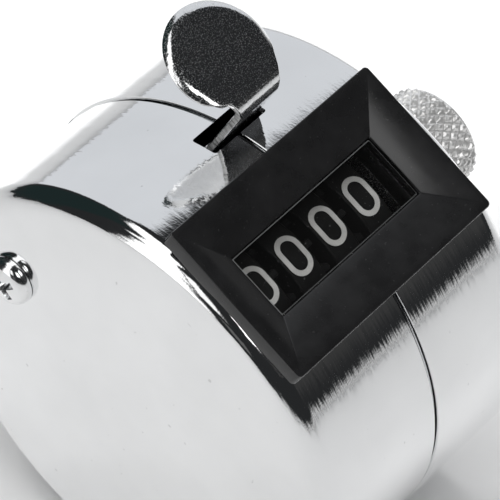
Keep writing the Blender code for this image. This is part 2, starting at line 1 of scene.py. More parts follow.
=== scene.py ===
"""Looks of the hand tally counter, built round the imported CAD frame.

Pieces are laid out in the counter's own axes, in millimetres: X along the number wheels (knob at
+X), Y up the face of the window (lever at +Y), Z out of the window, with the drum's axis at 0.
"""

import json
from math import asin, cos, floor, hypot, pi, radians, sin, sqrt, tau

import bmesh
import bpy
from mathutils import Matrix, Vector


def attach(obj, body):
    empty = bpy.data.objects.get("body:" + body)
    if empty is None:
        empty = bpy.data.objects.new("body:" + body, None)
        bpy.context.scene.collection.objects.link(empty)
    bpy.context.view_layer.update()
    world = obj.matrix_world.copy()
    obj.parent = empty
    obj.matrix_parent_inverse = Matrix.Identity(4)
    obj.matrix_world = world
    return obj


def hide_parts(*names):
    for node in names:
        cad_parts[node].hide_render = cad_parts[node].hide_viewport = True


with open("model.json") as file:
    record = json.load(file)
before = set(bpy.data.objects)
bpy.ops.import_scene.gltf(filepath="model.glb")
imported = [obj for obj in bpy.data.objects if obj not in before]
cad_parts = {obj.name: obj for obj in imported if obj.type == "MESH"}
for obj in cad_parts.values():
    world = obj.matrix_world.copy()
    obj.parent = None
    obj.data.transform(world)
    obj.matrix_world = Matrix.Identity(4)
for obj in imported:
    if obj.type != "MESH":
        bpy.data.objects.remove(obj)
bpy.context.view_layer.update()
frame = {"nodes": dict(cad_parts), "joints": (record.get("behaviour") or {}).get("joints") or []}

MM = 0.001
CLEAR = 0.3

# ---------------------------------------------------------------- sizes

# These are the CAD's, but for four: there PAD_R is 5.0, FOLD_R 1.0, SCREW_HEAD_R 2.6, SCREW_HEAD_H 1.5.

HALF_W = 14.3
SHOULDER = 2.0
LEFT_R = 22.3
DRUM_R = 22.5
SEAM_X = 0.7
SEAM_GAP = 0.3
WINDOW_X = -0.9
BEZEL_W, BEZEL_H = 25.6, 15.9
LIP_Z = 24.3
LIP = 0.5
BEZEL_END_Z = 22.6
OPENING_W, OPENING_H, OPENING_Z = 18.2, 6.35, 22.8
NECK_W, NECK_H, NECK_Z = 22.6, 11.6, 20.5
LENS_W, LENS_H, LENS_Z, LENS_T = 19.4, 7.4, 21.2, 0.8
WHEEL_Z, WHEEL_R, PITCH = 10.9, 8.5, 4.5
BAND_HALF, GEAR_X, CARRY_X, BORE_R = 1.5, 2.3, -1.9, 1.6
GEAR_TEETH, MODULE, ADDENDUM, DEDENDUM = 20, 0.78, 0.45, 0.75
SHAFT_R = 1.25
KNOB_R, KNOB_X0, KNOB_X1 = 4.9, 14.7, 21.9
BUSH_R = 3.2
PIVOT = (-10.0, 15.5)
PAWL_PIVOT = (7.6, 14.6)
LEVER_T, LEVER_Y, LEVER_X = 0.7, 11.25, 1.0
TONGUE_HALF = 2.32
PAD_FRONT_Z, PAD_R, PAD_Y, FOLD_R = 25.7, 4.86, 16.5, 1.2
ARM_X = (8.7, 9.4)
SLOT_X = (-2.3, 4.3)
SLOT_Y = (10.75, 13.0)
SCREW_Y, SCREW_Z, SCREW_R = 15.1, 0.6, 1.15
SCREW_HEAD_R, SCREW_HEAD_H = 2.4, 1.4
RING_R, RING_T, RING_W = 11.3, 1.3, 6.0
SADDLE_T, SADDLE_W, SADDLE_L = 1.6, 9.0, 9.6
RIVET_Z, RIVET_R, RIVET_HEAD_R = 2.7, 0.8, 1.5
RING_Y = -(DRUM_R + SADDLE_T + CLEAR + RING_R)
RING_X, TILT = -4.6, radians(30)
RING_TURN = pi - asin((DRUM_R - RING_R) / -RING_Y) - TILT
SHAFT_YZ = (0.0, WHEEL_Z)


# ---------------------------------------------------------------- where the counter's axes are

def counter_axes():
    """The counter's own axes in the row frame, from the number wheels' and the pinions' hinges."""
    hinge = {joint["name"]: Vector(joint["pos_m"]) for joint in frame["joints"] if "pos_m" in joint}
    wheels = hinge["units_turn"]
    out = (wheels - hinge["carry_tens_turn"]).normalized()
    along = Vector((1, 0, 0))
    up = out.cross(along)
    origin = wheels - out * WHEEL_Z * MM
    axes = Matrix((along, up, out)).transposed().to_4x4()
    return Matrix.Translation(origin) @ axes


AXES = counter_axes()


# ---------------------------------------------------------------- mesh tools (millimetres)

def temp_object(mesh_bm, name="temp"):
    """Turn a bmesh in millimetres into an object in metres."""
    bmesh.ops.scale(mesh_bm, verts=mesh_bm.verts, vec=(MM, MM, MM))
    bmesh.ops.recalc_face_normals(mesh_bm, faces=mesh_bm.faces)
    mesh = bpy.data.meshes.new(name)
    mesh_bm.to_mesh(mesh)
    mesh_bm.free()
    obj = bpy.data.objects.new(name, mesh)
    bpy.context.scene.collection.objects.link(obj)
    return obj


def piece(name, mesh_bm, material, body, replaces=(), cuts=(), unions=(), bevel=None,
          solidify=None, smooth=35, skin=None, pick=None):
    """Build, modify and apply one visible piece, then hang it on its body.

    unions come before cuts. skin is a function giving the exact normal of a point on the outer
    surface, or None away from it. pick chooses each face's material in a piece with several.
    """
    obj = temp_object(mesh_bm, name)
    helpers = []
    if solidify:
        modifier = obj.modifiers.new("sheet", "SOLIDIFY")
        modifier.thickness = solidify * MM
        modifier.offset = 0.0
        modifier.use_even_offset = True
    if bevel:
        add_bevel(obj, *bevel)
    for operation, tools in (("UNION", unions), ("DIFFERENCE", cuts)):
        for tool in tools:
            helper = temp_object(tool)
            helpers.append(helper)
            modifier = obj.modifiers.new("cut", "BOOLEAN")
            modifier.operation = operation
            modifier.object = helper
    bpy.context.view_layer.update()
    shape = obj.evaluated_get(bpy.context.evaluated_depsgraph_get())
    mesh = bpy.data.meshes.new_from_object(shape)
    obj.modifiers.clear()
    old = obj.data
    obj.data = mesh
    bpy.data.meshes.remove(old)
    for helper in helpers:
        data = helper.data
        bpy.data.objects.remove(helper)
        bpy.data.meshes.remove(data)
    indices = [face.material_index for face in mesh.polygons]
    mesh.materials.clear()
    for item in material if isinstance(material, (list, tuple)) else [material]:
        mesh.materials.append(item)
    if len(mesh.materials) > 1:
        mesh.polygons.foreach_set("material_index", pick(mesh) if pick else indices)
    mesh.shade_smooth()
    mesh.set_sharp_from_angle(angle=radians(smooth))
    if skin:
        exact_normals(mesh, skin)
    mesh.transform(AXES)
    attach(obj, body)
    if replaces:
        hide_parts(*((replaces,) if isinstance(replaces, str) else replaces))
    return obj


def add_bevel(obj, width, segments=3, angle=40):
    """Round the edges that are sharper than an angle in degrees."""
    modifier = obj.modifiers.new("edges", "BEVEL")
    modifier.width = width * MM
    modifier.segments = segments
    modifier.limit_method = "ANGLE"
    modifier.angle_limit = radians(angle)
    modifier.use_clamp_overlap = True


def exact_normals(mesh, skin):
    """Give faces on the outer skin the true normals of the surface, so that reflections run clean."""
    normals = [tuple(n.vector) for n in mesh.corner_normals]
    for face in mesh.polygons:
        if skin(face.center / MM, face.normal) is None:
            continue
        for loop in face.loop_indices:
            point = mesh.vertices[mesh.loops[loop].vertex_index].co / MM
            exact = skin(point, face.normal)
            if exact is not None:
                normals[loop] = tuple(exact)
    mesh.normals_split_custom_set(normals)


def lathe(profile, yz=(0.0, 0.0), steps=120):
    """Turn a closed profile of (x, r) points about an axis along X through yz."""
    mesh_bm = bmesh.new()
    rings = []
    for x, radius in profile:
        if radius < 1e-6:
            rings.append([mesh_bm.verts.new((x, *yz))] * steps)
            continue
        ring = []
        for index in range(steps):
            angle = tau * index / steps
            ring.append(mesh_bm.verts.new((x, yz[0] + radius * sin(angle), yz[1] + radius * cos(angle))))
        rings.append(ring)
    for first, second in zip(rings, rings[1:] + rings[:1]):
        for index in range(steps):
            after = (index + 1) % steps
            corners = [first[index], first[after], second[after], second[index]]
            unique = list(dict.fromkeys(corners))
            if len(unique) > 2:
                mesh_bm.faces.new(unique)
    return mesh_bm


def rod(yz, radius, x0, x1, steps=32):
    """Solid cylinder along X, used as a cutter."""
    return lathe([(x0, 0), (x0, radius), (x1, radius), (x1, 0)], yz, steps)


def add_cylinder(mesh_bm, axis, centre, radius, length, steps=48):
    """Add a capped cylinder about its centre, along the named axis."""
    turn = {"x": Matrix.Rotation(pi / 2, 4, "Y"), "y": Matrix.Rotation(-pi / 2, 4, "X"), "z": Matrix.Identity(4)}
    matrix = Matrix.Translation(centre) @ turn[axis]
    bmesh.ops.create_cone(mesh_bm, cap_ends=True, segments=steps, radius1=radius, radius2=radius, depth=length,
                          matrix=matrix)
    return mesh_bm


def box(low, high):
    """Box between two corners, used as a cutter or as stock."""
    mesh_bm = bmesh.new()
    size = [b - a for a, b in zip(low, high)]
    middle = [(a + b) / 2 for a, b in zip(low, high)]
    bmesh.ops.create_cube(mesh_bm, size=1.0, matrix=Matrix.Translation(middle) @ Matrix.Diagonal((*size, 1.0)))
    return mesh_bm


def prism(outline, low, high):
    """Extrude an outline of (y, z) points along X."""
    mesh_bm = bmesh.new()
    face = mesh_bm.faces.new([mesh_bm.verts.new((low, y, z)) for y, z in outline])
    grown = bmesh.ops.extrude_face_region(mesh_bm, geom=[face])
    moved = [item for item in grown["geom"] if isinstance(item, bmesh.types.BMVert)]
    bmesh.ops.translate(mesh_bm, verts=moved, vec=(high - low, 0, 0))
    return mesh_bm


def hang_back(mesh_bm):
    """Swing a piece built under the drum round to the ring's place at the back."""
    bmesh.ops.rotate(mesh_bm, verts=mesh_bm.verts, cent=(0, 0, 0), matrix=Matrix.Rotation(RING_TURN, 3, "X"))
    bmesh.ops.translate(mesh_bm, verts=mesh_bm.verts, vec=(RING_X, 0, 0))
    return mesh_bm


def rivet_holes(y, length):
    """Cutters for the ring's two rivets, centred at y before they are swung to the back."""
    holes = bmesh.new()
    for z in (-RIVET_Z, RIVET_Z):
        add_cylinder(holes, "y", (0, y, z), RIVET_R + CLEAR, length, 32)
    return hang_back(holes)


def arc(centre, radius, start, end, count):
    """Points on an arc, angles in degrees."""
    angles = [radians(start + (end - start) * i / count) for i in range(count + 1)]
    return [(centre[0] + radius * cos(a), centre[1] + radius * sin(a)) for a in angles]


def loft(rings):
    """Join rings of equal length into a closed band, first to last and back to the first."""
    mesh_bm = bmesh.new()
    loops = [[mesh_bm.verts.new(point) for point in ring] for ring in rings]
    for first, second in zip(loops, loops[1:] + loops[:1]):
        for index in range(len(first)):
            after = (index + 1) % len(first)
            mesh_bm.faces.new((first[index], first[after], second[after], second[index]))
    return mesh_bm


def rounded_rectangle(half_x, half_y, corner, z, steps=6):
    """One loop of points round the window's middle, at a height z."""
    points = []
    for sign_x, sign_y, start in ((1, 1, 0), (-1, 1, 90), (-1, -1, 180), (1, -1, 270)):
        for index in range(steps + 1):
            angle = radians(start + 90 * index / steps)
            points.append((WINDOW_X + sign_x * (half_x - corner) + corner * cos(angle),
                           sign_y * (half_y - corner) + corner * sin(angle), z))
    return points


# ---------------------------------------------------------------- material tools

class Nodes:
    """A small hand for wiring a node tree."""

    def __init__(self, tree):
        self.tree = tree

    def add(self, kind, **settings):
        node = self.tree.nodes.new(kind)
        for key, value in settings.items():
            setattr(node, key, value)
        return node

    def link(self, output, target):
        self.tree.links.new(output, target)

    def put(self, value, target):
        if isinstance(value, bpy.types.NodeSocket):
            self.link(value, target)
        else:
            target.default_value = value

    def math(self, operation, a, b=0.0, clamp=False):
        node = self.add("ShaderNodeMath", operation=operation, use_clamp=clamp)
        self.put(a, node.inputs[0])
        self.put(b, node.inputs[1])
        return node.outputs[0]

    def noise(self, vector, scale, detail=3.0, roughness=0.55):
        node = self.add("ShaderNodeTexNoise")
        self.link(vector, node.inputs["Vector"])
        node.inputs["Scale"].default_value = scale
        node.inputs["Detail"].default_value = detail
        node.inputs["Roughness"].default_value = roughness
        return node.outputs[0]

    def remap(self, value, low, high, to_low, to_high, smooth=False):
        node = self.add("ShaderNodeMapRange", interpolation_type="SMOOTHSTEP" if smooth else "LINEAR")
        self.link(value, node.inputs["Value"])
        for name, number in (("From Min", low), ("From Max", high), ("To Min", to_low), ("To Max", to_high)):
            node.inputs[name].default_value = number
        return node.outputs["Result"]

    def scaled(self, vector, scale):
        node = self.add("ShaderNodeMapping")
        self.link(vector, node.inputs["Vector"])
        node.inputs["Scale"].default_value = scale
        return node.outputs["Vector"]

    def mix(self, factor, a, b):
        node = self.add("ShaderNodeMix", data_type="RGBA")
        self.put(factor, node.inputs["Factor"])
        for value, target in ((a, node.inputs["A"]), (b, node.inputs["B"])):
            self.put((*value, 1.0) if isinstance(value, tuple) and len(value) == 3 else value, target)
        return node.outputs["Result"]

    def bump(self, height, distance, strength=1.0, normal=None):
        node = self.add("ShaderNodeBump")
        self.link(height, node.inputs["Height"])
        node.inputs["Distance"].default_value = distance
        node.inputs["Strength"].default_value = strength
        if normal is not None:
            self.link(normal, node.inputs["Normal"])
        return node.outputs["Normal"]


def new_material(name, metallic=0.0, roughness=0.5, color=(0.5, 0.5, 0.5), **inputs):
    """Principled material and its coordinates in the counter's own axes, in metres."""
    material = bpy.data.materials.new(name)
    material.use_nodes = True
    nodes = Nodes(material.node_tree)
    shader = material.node_tree.nodes["Principled BSDF"]
    shader.inputs["Metallic"].default_value = metallic
    shader.inputs["Roughness"].default_value = roughness
    shader.inputs["Base Color"].default_value = (*color, 1.0)
    for key, value in inputs.items():
        shader.inputs[key.replace("_", " ")].default_value = value
    own = nodes.add("ShaderNodeMapping", vector_type="TEXTURE")
    own.inputs["Location"].default_value = AXES.translation
    own.inputs["Rotation"].default_value = AXES.to_euler()
    nodes.link(nodes.add("ShaderNodeTexCoord").outputs["Object"], own.inputs["Vector"])
    return material, nodes, shader, own.outputs["Vector"]


def around_x(nodes, coords, radius):
    """Coordinates unrolled round the X axis: (x, arc length, radial distance), in metres."""
    split = nodes.add("ShaderNodeSeparateXYZ")
    nodes.link(coords, split.inputs[0])
    x, y, z = split.outputs
    angle = nodes.math("ARCTAN2", y, z)
    length = nodes.math("MULTIPLY", angle, radius * MM)
    reach = nodes.math("SQRT", nodes.math("ADD", nodes.math("MULTIPLY", y, y), nodes.math("MULTIPLY", z, z)))
    join = nodes.add("ShaderNodeCombineXYZ")
    nodes.link(x, join.inputs[0])
    nodes.link(length, join.inputs[1])
    nodes.link(reach, join.inputs[2])
    return join.outputs[0]


def swept(nodes, coords, flat, normal):
    """Tilt the normal a little to and fro round the drum, in fine bands: the marks of the drawing die."""
    split = nodes.add("ShaderNodeSeparateXYZ")
    nodes.link(coords, split.inputs[0])
    join = nodes.add("ShaderNodeCombineXYZ")
    nodes.link(split.outputs[2], join.inputs[1])
    nodes.link(nodes.math("MULTIPLY", split.outputs[1], -1.0), join.inputs[2])
    turned = nodes.add("ShaderNodeMapping", vector_type="VECTOR")
    turned.inputs["Rotation"].default_value = AXES.to_euler()
    nodes.link(join.outputs[0], turned.inputs["Vector"])
    world = nodes.add("ShaderNodeVectorTransform", vector_type="VECTOR", convert_from="OBJECT", convert_to="WORLD")
    nodes.link(turned.outputs[0], world.inputs[0])
    bands = nodes.noise(nodes.scaled(flat, (4200, 260, 1)), 1.0, 3.0, 0.7)
    tilt = nodes.remap(bands, 0.2, 0.8, -SWEEP / (DRUM_R * MM), SWEEP / (DRUM_R * MM))
    across = nodes.add("ShaderNodeVectorMath", operation="SCALE")
    nodes.link(world.outputs[0], across.inputs[0])
    nodes.link(tilt, across.inputs["Scale"])
    total = nodes.add("ShaderNodeVectorMath", operation="ADD")
    nodes.link(normal, total.inputs[0])
    nodes.link(across.outputs[0], total.inputs[1])
    unit = nodes.add("ShaderNodeVectorMath", operation="NORMALIZE")
    nodes.link(total.outputs[0], unit.inputs[0])
    return unit.outputs[0]


def chrome(name, color, grain, peel, wave, unrolled=True, roughness=0.035, frost=0.0):
    """Bright plating over sheet: slow waves (wave), fine pimples (peel) and drawing marks (grain), in metres.

    unrolled lays the marks round the drum. frost is the extra roughness of a speckled finish.
    """
    material, nodes, shader, coords = new_material(name, 1.0, roughness, color)
    flat = around_x(nodes, coords, DRUM_R) if unrolled else coords
    slow = nodes.noise(coords, 160, 2.0)
    fine = nodes.noise(coords, 5200, 1.0, 0.4)
    marks = nodes.noise(nodes.scaled(flat, (7000, 900, 900)), 1.0, 2.0)
    normal = nodes.bump(slow, wave)
    normal = nodes.bump(fine, peel, normal=normal)
    normal = nodes.bump(marks, grain, normal=normal)
    if unrolled:
        normal = swept(nodes, coords, flat, normal)
    nodes.link(normal, shader.inputs["Normal"])
    haze = nodes.noise(coords, 300, 4.0)
    rough = nodes.remap(haze, 0.35, 0.75, roughness, roughness * 2.2)
    if frost:
        rough = nodes.math("ADD", rough, nodes.remap(nodes.noise(coords, 9500, 2.0, 0.6), 0.54, 0.66, 0.0, frost))
    nodes.link(rough, shader.inputs["Roughness"])
    tone = nodes.noise(coords, 90, 3.0)
    specks = nodes.noise(coords, 1500, 1.0, 0.3)
    dull = tuple(c * 0.93 for c in color)
    toned = nodes.mix(nodes.remap(tone, 0.3, 0.7, 0.0, 1.0), color, dull)
    dirt = nodes.remap(specks, 0.79, 0.82, 0.0, 0.3)
    nodes.link(nodes.mix(dirt, toned, (0.25, 0.25, 0.25)), shader.inputs["Base Color"])
    return material


def plastic(name, color, roughness, texture, grain=4000, specks=0.0):
    """Moulded plastic or paint: fine grain, uneven gloss, and a little dust where specks is above 0."""
    material, nodes, shader, coords = new_material(name, 0.0, roughness, color)
    fine = nodes.noise(coords, grain, 3.0)
    slow = nodes.noise(coords, 350, 3.0)
    nodes.link(nodes.bump(fine, texture), shader.inputs["Normal"])
    nodes.link(nodes.remap(slow, 0.3, 0.7, roughness * 0.85, roughness * 1.2), shader.inputs["Roughness"])
    lighter = tuple(c * 1.35 + 0.003 for c in color)
    toned = nodes.mix(nodes.remap(slow, 0.35, 0.7, 0.0, 1.0), color, lighter)
    if specks:
        dust = nodes.remap(nodes.noise(coords, 4200, 0.0), 0.80, 0.82, 0.0, specks)
        toned = nodes.mix(dust, toned, (0.35, 0.35, 0.35))
    nodes.link(toned, shader.inputs["Base Color"])
    return material


def metal(name, color, roughness, grain, stretch=(1, 1, 1), metallic=1.0, depth=0.000004, shade=0.8):
    """Cut or turned metal. A shade below 0.5 puts the dark tone into the tool marks themselves."""
    material, nodes, shader, coords = new_material(name, metallic, roughness, color)
    marks = nodes.noise(nodes.scaled(coords, stretch), grain, 3.0)
    nodes.link(nodes.bump(marks, depth), shader.inputs["Normal"])
    nodes.link(nodes.remap(marks, 0.3, 0.7, roughness * 0.7, roughness * 1.3), shader.inputs["Roughness"])
    dull = tuple(c * shade for c in color)
    tone = nodes.remap(marks, 0.35, 0.65, 0.0, 1.0) if shade < 0.5 else nodes.noise(coords, 500)
    nodes.link(nodes.mix(tone, color, dull), shader.inputs["Base Color"])
    return material


SWEEP = 0.042
CHROME_COLOR = (0.93, 0.935, 0.94)
CHROME = chrome("drum_chrome", CHROME_COLOR, 0.0000011, 0.0000022, 0.000012)
LEVER_CHROME = chrome("lever_chrome", CHROME_COLOR, 0.000002, 0.00001, 0.000004, False, 0.05, 0.45)
SHEARED = metal("sheared_edge", (0.95, 0.95, 0.95), 0.3, 1400, (1, 0.3, 2.4), 0.35, 0.00006, 0.25)
RING_CHROME = chrome("ring_chrome", CHROME_COLOR, 0.0000008, 0.0000015, 0.000006, False)
SCREW_CHROME = chrome("screw_chrome", CHROME_COLOR, 0.0000008, 0.0000015, 0.000004, False, 0.08)
KNOB_METAL = metal("knob_nickel", (0.93, 0.925, 0.915), 0.2, 2500, metallic=0.6)
STEEL = metal("zinc_steel", (0.45, 0.45, 0.46), 0.34, 1200, (0.2, 1, 1))
BRASS = metal("turned_brass", (0.62, 0.45, 0.20), 0.28, 1500, (2, 0.4, 0.4))
BEZEL_BLACK = plastic("bezel_black", (0.0125, 0.0125, 0.013), 0.14, 0.0000006, specks=0.05)
WHEEL_BLACK = plastic("wheel_black", (0.008, 0.008, 0.008), 0.42, 0.000002, specks=0.3)
DIGIT_WHITE = plastic("digit_white", (0.60, 0.60, 0.58), 0.55, 0.000002)
NYLON = plastic("nylon", (0.68, 0.66, 0.60), 0.45, 0.000002)


def clear_material(name, color, alpha, roughness):
    """Clear plastic, with alpha as the share of light that it stops."""
    material, nodes, shader, coords = new_material(name, 0.0, roughness, color, Alpha=alpha)
    shader.inputs["IOR"].default_value = 1.49
    haze = nodes.noise(coords, 900, 3.0)
    nodes.link(nodes.remap(haze, 0.3, 0.7, roughness, roughness * 1.6), shader.inputs["Roughness"])
    nodes.link(nodes.bump(haze, 0.000002), shader.inputs["Normal"])
    return material


LENS_CLEAR = clear_material("lens_clear", (0.02, 0.02, 0.02), 0.10, 0.05)
# the lens's chamfer: pale grey and partly opaque, a painted highlight that stands in for the bright line of light
# along the lens's edge
LENS_EDGE_PAINTED_HIGHLIGHT = clear_material("lens_edge_painted_highlight", (0.30, 0.31, 0.31), 0.6, 0.3)


# ---------------------------------------------------------------- drum shells

def drum_skin(radius):
    """Exact normals of the drum's outer surface: cylinder, rounded shoulder and flat end."""
    core = radius - SHOULDER
    straight = HALF_W - SHOULDER

    def skin(point, normal):
        reach = hypot(point.y, point.z)
        side = 1 if point.x > 0 else -1
        inner_x = side * min(abs(point.x), straight)
        keep = min(reach, core) / max(reach, 1e-9)
        away = point - Vector((inner_x, point.y * keep, point.z * keep))
        if abs(away.length - SHOULDER) > 0.05 or away.dot(normal) < 0.7 * away.length:
            return None
        return away.normalized()
    return skin


def spaced(start, end, count):
    """Values between start and end, ends left out."""
    return [start + (end - start) * i / count for i in range(1, count)]


def shell_profile(side, radius, wall, edge, rim):
    """Closed cup section with extra stations, so that its quads stay short."""
    face = side * HALF_W
    straight = side * (HALF_W - SHOULDER)
    points = [(x, radius) for x in spaced(edge, straight, 8)]
    for index in range(13):
        angle = radians(90 - 90 * index / 12)
        points.append((straight + side * SHOULDER * cos(angle), radius - SHOULDER + SHOULDER * sin(angle)))
    points += [(face, r) for r in (17, 13, 9, 5, 2, 0)]
    inner_face = side * (HALF_W - wall)
    points.append((inner_face, 0.0))
    inner = SHOULDER - wall
    for index in range(5):
        angle = radians(90 * index / 4)
        points.append((straight + side * inner * cos(angle), radius - SHOULDER + inner * sin(angle)))
    return rim[0] + points + rim[1]


def shell_cuts():
    """Openings for the bezel's neck and the lever's tongue, shared by both shells."""
    half_w = NECK_W / 2 + CLEAR
    half_h = NECK_H / 2 + CLEAR
    slot = box((SLOT_X[0], SLOT_Y[0], 14), (SLOT_X[1], SLOT_Y[1], 30))
    bmesh.ops.bevel(slot, geom=[e for e in slot.edges if abs(e.verts[0].co.z - e.verts[1].co.z) > 1],
                    offset=0.25, segments=3, affect="EDGES", profile=0.5)
    return [box((WINDOW_X - half_w, -half_h, 14), (WINDOW_X + half_w, half_h, 30)), slot]


def make_shells():
    """The two cups of the drum. The left one has a step that runs in under the right one at the seam.

    The step's outside is at radius 21.8 here and at 21.5 in the CAD.
    """
    edge = SEAM_X - SEAM_GAP / 2
    lip = 0.12
    wall = 0.75
    rim = ([(edge, LEFT_R - lip), (edge - lip * 0.3, LEFT_R - lip * 0.3), (edge - lip, LEFT_R)],
           [(-1.2, LEFT_R - wall), (-1.2, 20.9), (2.3, 20.9), (2.3, 21.8), (edge, 21.8)])
    cuts = shell_cuts() + [rivet_holes(-DRUM_R, 6)]
    for side in (1, -1):
        cuts.append(add_cylinder(bmesh.new(), "x", (-HALF_W, side * SCREW_Y, SCREW_Z), SCREW_R + CLEAR, 4, 32))
    piece("case_left", lathe(shell_profile(-1, LEFT_R, wall, edge - lip, rim), steps=240), CHROME, "case",
          "left_shell", cuts=cuts, skin=drum_skin(LEFT_R))
    edge = SEAM_X + SEAM_GAP / 2
    wall = 0.6
    rim = ([(edge, DRUM_R - lip), (edge + lip * 0.3, DRUM_R - lip * 0.3), (edge + lip, DRUM_R)],
           [(edge, DRUM_R - wall)])
    cuts = shell_cuts() + [add_cylinder(bmesh.new(), "x", (HALF_W, *SHAFT_YZ), BUSH_R + CLEAR, 5, 48)]
    piece("case_right", lathe(shell_profile(1, DRUM_R, wall, edge + lip, rim), steps=240), CHROME, "case",
          "right_shell", cuts=cuts, skin=drum_skin(DRUM_R))


# ---------------------------------------------------------------- bezel and lens

def make_bezel():
    """Window frame in one band, from the outer wall over the lip and down the slopes, and the neck under it."""
    half_w, half_h = BEZEL_W / 2, BEZEL_H / 2
    outer_soft = 0.16
    inner_soft = 0.1
    rings = [rounded_rectangle(half_w, half_h, 0.45, NECK_Z - 1)]
    for angle in (0, 30, 60, 90):
        inset = outer_soft * (1 - cos(radians(angle)))
        rings.append(rounded_rectangle(half_w - inset, half_h - inset, 0.45 - inset,
                                       LIP_Z - outer_soft + outer_soft * sin(radians(angle))))
    slope_w, slope_h = half_w - LIP, half_h - LIP
    small_w, small_h = OPENING_W / 2, OPENING_H / 2
    drop = LIP_Z - OPENING_Z

    def on_slope(share, corner, lift=0.0):
        return rounded_rectangle(slope_w + (small_w - slope_w) * share, slope_h + (small_h - slope_h) * share,
                                 corner, LIP_Z - drop * share + lift)
    rings.append(rounded_rectangle(slope_w + inner_soft, slope_h + inner_soft, 0.2, LIP_Z))
    rings.append(rounded_rectangle(slope_w + inner_soft * 0.3, slope_h + inner_soft * 0.3, 0.18, LIP_Z - 0.012))
    rings.append(on_slope(0.025, 0.15))
    rings.append(on_slope(0.5, 0.12))
    rings.append(on_slope(0.96, 0.1))
    rings.append(on_slope(0.985, 0.1, -0.02))
    rings.append(rounded_rectangle(small_w, small_h, 0.1, OPENING_Z - 0.1))
    pocket_z = LENS_Z + LENS_T + 0.15
    rings.append(rounded_rectangle(small_w, small_h, 0.1, pocket_z))
    pocket_w, pocket_h = LENS_W / 2 + CLEAR, LENS_H / 2 + CLEAR
    rings.append(rounded_rectangle(pocket_w, pocket_h, 0.1, pocket_z))
    rings.append(rounded_rectangle(pocket_w, pocket_h, 0.1, NECK_Z - 1))
    under = add_cylinder(bmesh.new(), "x", (0, 0, 0), DRUM_R + CLEAR, 2 * HALF_W + 4, 180)
    cuts = [under]
    side_x = 1.2
    for side in (-1, 1):
        x = WINDOW_X + side * half_w
        cuts.append(box((x - side_x, -half_h - 1, 18), (x + side_x, half_h + 1, BEZEL_END_Z)))
    inner, outer = (pocket_w, pocket_h), (NECK_W / 2, NECK_H / 2)
    neck = loft([rounded_rectangle(*inner, 0.1, NECK_Z), rounded_rectangle(*inner, 0.1, pocket_z + 0.02),
                 rounded_rectangle(*outer, 0.3, pocket_z + 0.9), rounded_rectangle(*outer, 0.3, NECK_Z)])
    piece("bezel_frame", loft(rings), BEZEL_BLACK, "case", "bezel", cuts=cuts, smooth=25)
    piece("bezel_neck", neck, BEZEL_BLACK, "case", smooth=25)


def make_lens():
    """Clear plate with a raised middle that fills the opening; its chamfer is painted pale grey and half opaque, a
    painted highlight for the bright line along the edges.
    """
    step = LENS_Z + LENS_T
    inner_w, inner_h = OPENING_W / 2 - 0.08, OPENING_H / 2 - 0.08
    top = step + 0.6
    rings = [rounded_rectangle(LENS_W / 2, LENS_H / 2, 0.3, LENS_Z),
             rounded_rectangle(LENS_W / 2, LENS_H / 2, 0.3, step),
             rounded_rectangle(inner_w, inner_h, 0.1, step),
             rounded_rectangle(inner_w, inner_h, 0.1, top - 0.09),
             rounded_rectangle(inner_w - 0.09, inner_h - 0.09, 0.1, top)]
    mesh_bm = bmesh.new()
    loops = [[mesh_bm.verts.new(point) for point in ring] for ring in rings]
    for first, second in zip(loops, loops[1:]):
        for index in range(len(first)):
            after = (index + 1) % len(first)
            mesh_bm.faces.new((first[index], first[after], second[after], second[index]))
    mesh_bm.faces.new(loops[0])
    mesh_bm.faces.new(loops[-1])
    count = len(rings[0])
    # the chamfer faces take the painted highlight material
    for face in list(mesh_bm.faces)[3 * count:4 * count]:  # the chamfer
        face.material_index = 1
    piece("lens_plate", mesh_bm, [LENS_CLEAR, LENS_EDGE_PAINTED_HIGHLIGHT], "case", "window_lens", smooth=25)


# ---------------------------------------------------------------- number wheels and their digits

DIGIT_H, DIGIT_W, STROKE = 3.95, 2.56, 0.5
SQUARENESS = 0.86  # below 1, a digit's bowls are squarer than an ellipse


def toothed(centre, teeth, tip, root, tip_share, root_share, phase=0.0):
    """Outline of a straight-sided gear; the shares are of a half pitch, each side of a tooth's middle."""
    step = tau / teeth
    corners = ((-root_share, root), (-tip_share, tip), (tip_share, tip), (root_share, root))
    points = []
    for index in range(teeth):
        for share, radius in corners:
            angle = phase + (index + share / 2) * step
            points.append((centre[0] + radius * sin(angle), centre[1] + radius * cos(angle)))
    return points


def squared(value):
    return abs(value) ** SQUARENESS * (1 if value >= 0 else -1)


def ellipse(cx, cy, rx, ry, start, end, count=16):
    """Points on a superellipse arc, angles in degrees anticlockwise from the right."""
    points = []
    for index in range(count + 1):
        angle = radians(start + (end - start) * index / count)
        points.append((cx + rx * squared(cos(angle)), cy + ry * squared(sin(angle))))
    return points


def stadium(half_w, half_h, count=14):
    """Closed upright oval with straight sides."""
    straight = half_h - half_w
    top = [(half_w * cos(pi * i / count), straight + half_w * sin(pi * i / count)) for i in range(count + 1)]
    bottom = [(-x, -y) for x, y in top]
    return top + bottom


